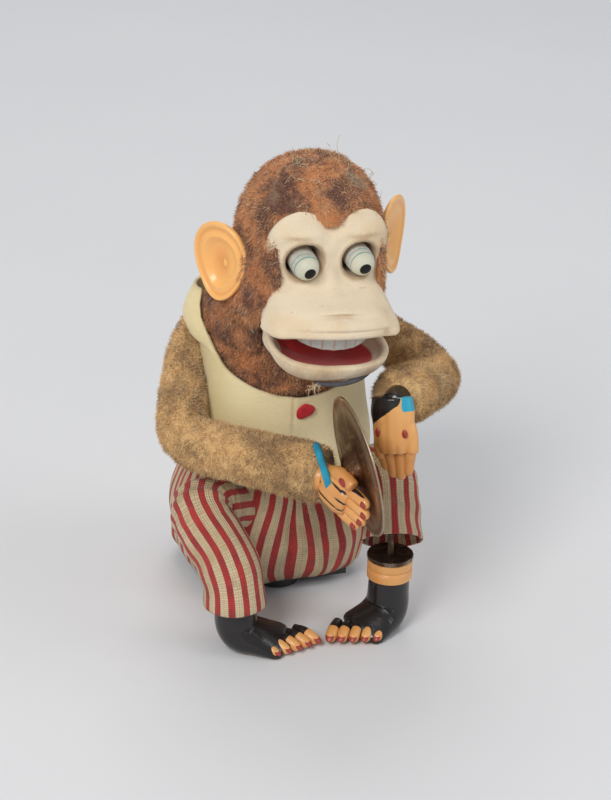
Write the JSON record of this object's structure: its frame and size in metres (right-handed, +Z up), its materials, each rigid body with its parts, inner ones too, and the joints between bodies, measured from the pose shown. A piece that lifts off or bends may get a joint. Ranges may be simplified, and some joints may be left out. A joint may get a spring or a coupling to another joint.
{
  "type": "toy monkey with cymbal",
  "caption": "Battery-driven seated toy monkey with fabric clothes, swinging arms, a cymbal in one hand, a nodding head, a moving jaw and eyes that slide out.",
  "frame": {"origin": "on the floor, on the toy's middle plane, under its hips", "axes": "+Z up, -Y the way the face looks, +X the monkey's left"},
  "size_m": [0.1642, 0.2033, 0.2616],
  "materials": {
    "black_plastic": "satin",
    "steel": "bright, lightly worn",
    "cell_jacket": "printed jacket",
    "motor_can": "plain can",
    "brass": "bright",
    "cymbal_brass": "tarnished",
    "nylon": "plain",
    "eye_nylon": "painted",
    "tooth_nylon": "plain",
    "grey_plastic": "plain",
    "vest_felt": "wool felt",
    "red_paint": "painted",
    "striped_ticking": "woven stripes",
    "vinyl": "soft, painted",
    "black_vinyl": "painted",
    "arm_fur": "plush",
    "head_fur": "plush",
    "blue_felt": "felt",
    "flocked_mask": "flocked"
  },
  "bodies": {
    "chassis": {"battery_case": "black_plastic", "front_foot": "black_plastic", "right_cell": "cell_jacket", "left_cell": "cell_jacket", "contact_bridge": "brass", "right_contact": "brass", "left_contact": "brass", "chassis_plate": "steel", "right_frame_plate": "steel", "left_frame_plate": "steel", "motor": "motor_can", "voice_box": "grey_plastic", "head_bracket": "steel", "body_shell": "grey_plastic", "vest": "vest_felt", "vest_button": "red_paint", "trouser_seat": "striped_ticking", "right_trouser_leg": "striped_ticking", "left_trouser_leg": "striped_ticking", "right_leg_rod": "steel", "left_leg_rod": "steel", "right_collar": "vinyl", "left_collar": "vinyl", "right_foot": "black_vinyl", "left_foot": "black_vinyl", "right_shoulder_bracket": "steel", "left_shoulder_bracket": "steel", "head_spring": "steel", "neck_ruff": "head_fur"},
    "battery_door": {"battery_door": "black_plastic"},
    "switch": {"switch_slider": "steel"},
    "motor_shaft": {"motor_pinion": "brass"},
    "idler": {"idler_gear": "nylon"},
    "camshaft": {"cam_gear": "nylon", "crankshaft": "steel"},
    "right_arm": {"right_arm_lever": "steel", "right_upper_sleeve": "arm_fur", "right_lower_sleeve": "arm_fur", "right_hand": "vinyl", "right_cuff": "blue_felt", "cymbal": "cymbal_brass", "cymbal_rivet": "steel"},
    "left_arm": {"left_arm_lever": "steel", "left_upper_sleeve": "arm_fur", "left_lower_sleeve": "arm_fur", "left_hand": "vinyl", "left_cuff": "blue_felt"},
    "neck": {"neck_post": "steel"},
    "head": {"head_plush": "head_fur", "skull": "grey_plastic", "face_mask": "flocked_mask", "head_frame": "steel", "teeth": "tooth_nylon", "right_ear": "vinyl", "left_ear": "vinyl"},
    "jaw": {"lower_jaw": "flocked_mask", "jaw_lining": "red_paint"},
    "eyes": {"eye_carriage": "steel", "right_eye": "eye_nylon", "left_eye": "eye_nylon"}
  },
  "joints": [
    {"name": "door_slide", "type": "slide", "parent": "chassis", "child": "battery_door", "axis": [0, 1, 0], "range_m": [0, 0.042]},
    {"name": "switch_slide", "type": "slide", "parent": "chassis", "child": "switch", "axis": [1, 0, 0], "range_m": [0, 0.006]},
    {"name": "motor_spin", "type": "hinge", "parent": "chassis", "child": "motor_shaft", "pos_m": [0, -0.008, 0.0576], "axis": [1, 0, 0], "continuous": true},
    {"name": "idler_spin", "type": "hinge", "parent": "chassis", "child": "idler", "pos_m": [0, -0.008, 0.0774], "axis": [1, 0, 0], "continuous": true},
    {"name": "cam_spin", "type": "hinge", "parent": "chassis", "child": "camshaft", "pos_m": [0, -0.008, 0.0972], "axis": [1, 0, 0], "continuous": true},
    {"name": "right_arm_swing", "type": "hinge", "parent": "chassis", "child": "right_arm", "pos_m": [-0.05, -0.004, 0.1493], "axis": [0, 0, 1], "range_deg": [-14, 3]},
    {"name": "left_arm_swing", "type": "hinge", "parent": "chassis", "child": "left_arm", "pos_m": [0.05, -0.004, 0.1493], "axis": [0, 0, -1], "range_deg": [-14, 3]},
    {"name": "neck_press", "type": "slide", "parent": "chassis", "child": "neck", "axis": [0, 0, -1], "range_m": [0, 0.0025], "stiffness_N_per_m": 3000, "springref_m": -0.001, "deforming": ["head_spring"]},
    {"name": "head_nod", "type": "hinge", "parent": "neck", "child": "head", "pos_m": [0, -0.032, 0.1753], "axis": [-1, 0, 0], "range_deg": [0, 7]},
    {"name": "jaw_close", "type": "hinge", "parent": "head", "child": "jaw", "pos_m": [0, -0.0625, 0.1778], "axis": [-1, 0, 0], "range_deg": [0, 8]},
    {"name": "eye_slide", "type": "slide", "parent": "head", "child": "eyes", "axis": [0, 0.9848, 0.1736], "range_m": [0, 0.008]}
  ],
  "couplings": [
    {"joint": "idler_spin", "follows": "cam_spin", "ratio": -2.5},
    {"joint": "motor_spin", "follows": "cam_spin", "ratio": 6.25},
    {"joint": "left_arm_swing", "follows": "right_arm_swing", "ratio": 1},
    {"joint": "jaw_close", "follows": "eye_slide", "rad_per_m": 17.4}
  ]
}
